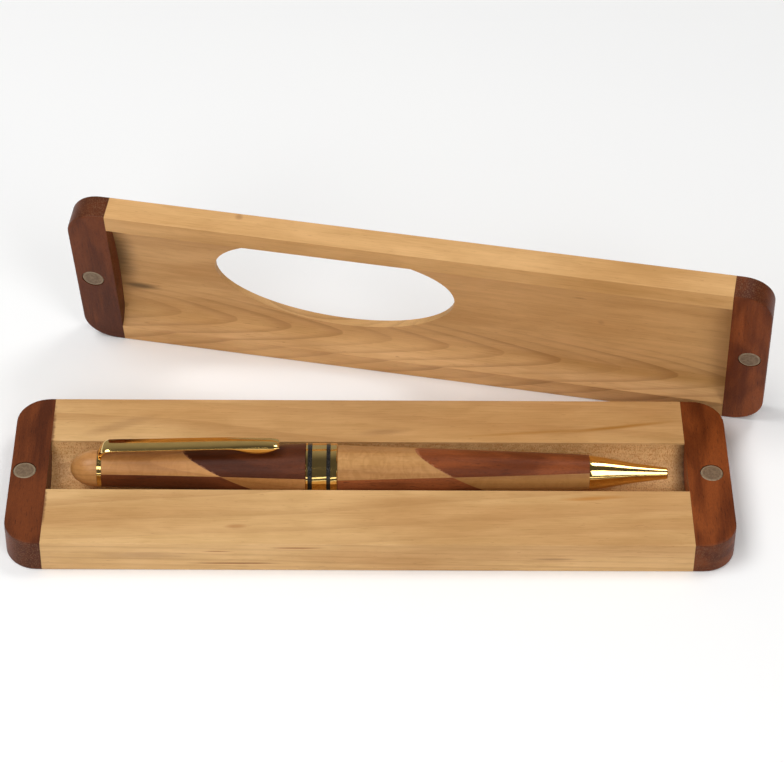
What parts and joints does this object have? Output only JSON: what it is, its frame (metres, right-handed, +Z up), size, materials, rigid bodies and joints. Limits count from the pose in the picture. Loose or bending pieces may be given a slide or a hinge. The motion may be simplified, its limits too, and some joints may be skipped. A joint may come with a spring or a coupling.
{
  "type": "wooden pen case",
  "caption": "Two-piece magnetic wooden pen case with rounded rosewood ends, a grooved base holding a wooden twist pen, and a loose lid with an oval window.",
  "frame": {"origin": "centre of the flat underside of the base, on the table", "axes": "+X along the case towards the pen nib end, +Y towards the standing lid, +Z up"},
  "size_m": [0.1813, 0.0881, 0.0495],
  "materials": {
    "base_body": "satin oiled maple",
    "base_end_cap_left": "satin oiled rosewood",
    "base_end_cap_right": "satin oiled rosewood",
    "base_magnet_left": "plated magnet, lightly worn",
    "base_magnet_right": "plated magnet, lightly worn",
    "lid_body": "satin oiled maple",
    "lid_end_cap_left": "satin oiled rosewood",
    "lid_end_cap_right": "satin oiled rosewood",
    "lid_magnet_left": "plated magnet, lightly worn",
    "lid_magnet_right": "plated magnet, lightly worn",
    "pen_band_ring_left": "black enamel",
    "pen_band_ring_right": "black enamel",
    "pen_centre_band": "polished gold plate",
    "pen_clip": "polished gold plate",
    "pen_clip_ring": "polished gold plate",
    "pen_finial": "satin oiled maple",
    "pen_finial_bushing": "drawn, unpolished",
    "pen_lower_barrel_top_maple": "satin oiled maple",
    "pen_lower_barrel_top_rosewood": "satin oiled rosewood",
    "pen_lower_barrel_under_maple": "satin oiled maple",
    "pen_lower_barrel_under_rosewood": "satin oiled rosewood",
    "pen_lower_tube": "drawn, unpolished",
    "pen_nib_cone": "polished gold plate",
    "pen_refill_tip": "drawn, unpolished",
    "pen_refill_tube": "drawn",
    "pen_twist_body": "drawn, unpolished",
    "pen_twist_collar": "drawn, unpolished",
    "pen_twist_spindle": "drawn, unpolished",
    "pen_upper_barrel_top_maple": "satin oiled maple",
    "pen_upper_barrel_top_rosewood": "satin oiled rosewood",
    "pen_upper_barrel_under_maple": "satin oiled maple",
    "pen_upper_barrel_under_rosewood": "satin oiled rosewood",
    "pen_upper_tube": "drawn, unpolished"
  },
  "bodies": {
    "base": {"base_body": "base_body", "base_end_cap_left": "base_end_cap_left", "base_end_cap_right": "base_end_cap_right", "base_magnet_right": "base_magnet_right"},
    "swivel_magnet": {"base_magnet_left": "base_magnet_left"},
    "lid": {"lid_body": "lid_body", "lid_end_cap_left": "lid_end_cap_left", "lid_end_cap_right": "lid_end_cap_right", "lid_magnet_left": "lid_magnet_left", "lid_magnet_right": "lid_magnet_right"},
    "pen_upper": {"pen_finial": "pen_finial", "pen_finial_bushing": "pen_finial_bushing", "pen_clip_ring": "pen_clip_ring", "pen_upper_barrel_top_maple": "pen_upper_barrel_top_maple", "pen_upper_barrel_top_rosewood": "pen_upper_barrel_top_rosewood", "pen_upper_barrel_under_maple": "pen_upper_barrel_under_maple", "pen_upper_barrel_under_rosewood": "pen_upper_barrel_under_rosewood", "pen_centre_band": "pen_centre_band", "pen_band_ring_left": "pen_band_ring_left", "pen_band_ring_right": "pen_band_ring_right", "pen_upper_tube": "pen_upper_tube", "pen_twist_collar": "pen_twist_collar"},
    "pen_clip": {"pen_clip": "pen_clip"},
    "pen_lower": {"pen_lower_barrel_top_maple": "pen_lower_barrel_top_maple", "pen_lower_barrel_top_rosewood": "pen_lower_barrel_top_rosewood", "pen_lower_barrel_under_maple": "pen_lower_barrel_under_maple", "pen_lower_barrel_under_rosewood": "pen_lower_barrel_under_rosewood", "pen_lower_tube": "pen_lower_tube", "pen_twist_body": "pen_twist_body", "pen_nib_cone": "pen_nib_cone"},
    "pen_refill": {"pen_twist_spindle": "pen_twist_spindle", "pen_refill_tube": "pen_refill_tube", "pen_refill_tip": "pen_refill_tip"}
  },
  "joints": [
    {"name": "lid_swing", "type": "hinge", "parent": "base", "child": "swivel_magnet", "pos_m": [-0.0817, -0.00035, 0], "axis": [0, 0, 1], "range_deg": [0, 14.46]},
    {"name": "lid_turn", "type": "hinge", "parent": "swivel_magnet", "child": "lid", "pos_m": [0.00455, 0.018, -0.0206], "axis": [0.9752, -0.2175, -0.0412], "range_deg": [0, 76.88]},
    {"name": "pen_roll", "type": "hinge", "parent": "base", "child": "pen_upper", "pos_m": [-0.00788, 0.001, 0.0076], "axis": [1, -0.0073, 0], "range_deg": [0, 64.01]},
    {"name": "clip_flex", "type": "hinge", "parent": "pen_upper", "child": "pen_clip", "pos_m": [-0.0644, 0.00141, 0.0122], "axis": [-0.0073, -1, 0], "range_deg": [0, 2], "stiffness_Nm_per_rad": 0.5, "springref_deg": -1.15},
    {"name": "pen_twist", "type": "hinge", "parent": "pen_upper", "child": "pen_lower", "pos_m": [-0.00788, 0.001, 0.0076], "axis": [1, -0.0073, 0], "range_deg": [0, 180.01]},
    {"name": "refill_slide", "type": "slide", "parent": "pen_lower", "child": "pen_refill", "axis": [1, -0.0073, 0], "range_m": [0, 0.0042]}
  ],
  "couplings": [
    {"joint": "lid_swing", "follows": "lid_turn", "ratio": 0.18796},
    {"joint": "pen_roll", "follows": "lid_turn", "ratio": 0.83249},
    {"joint": "pen_twist", "follows": "refill_slide", "rad_per_m": 748}
  ]
}
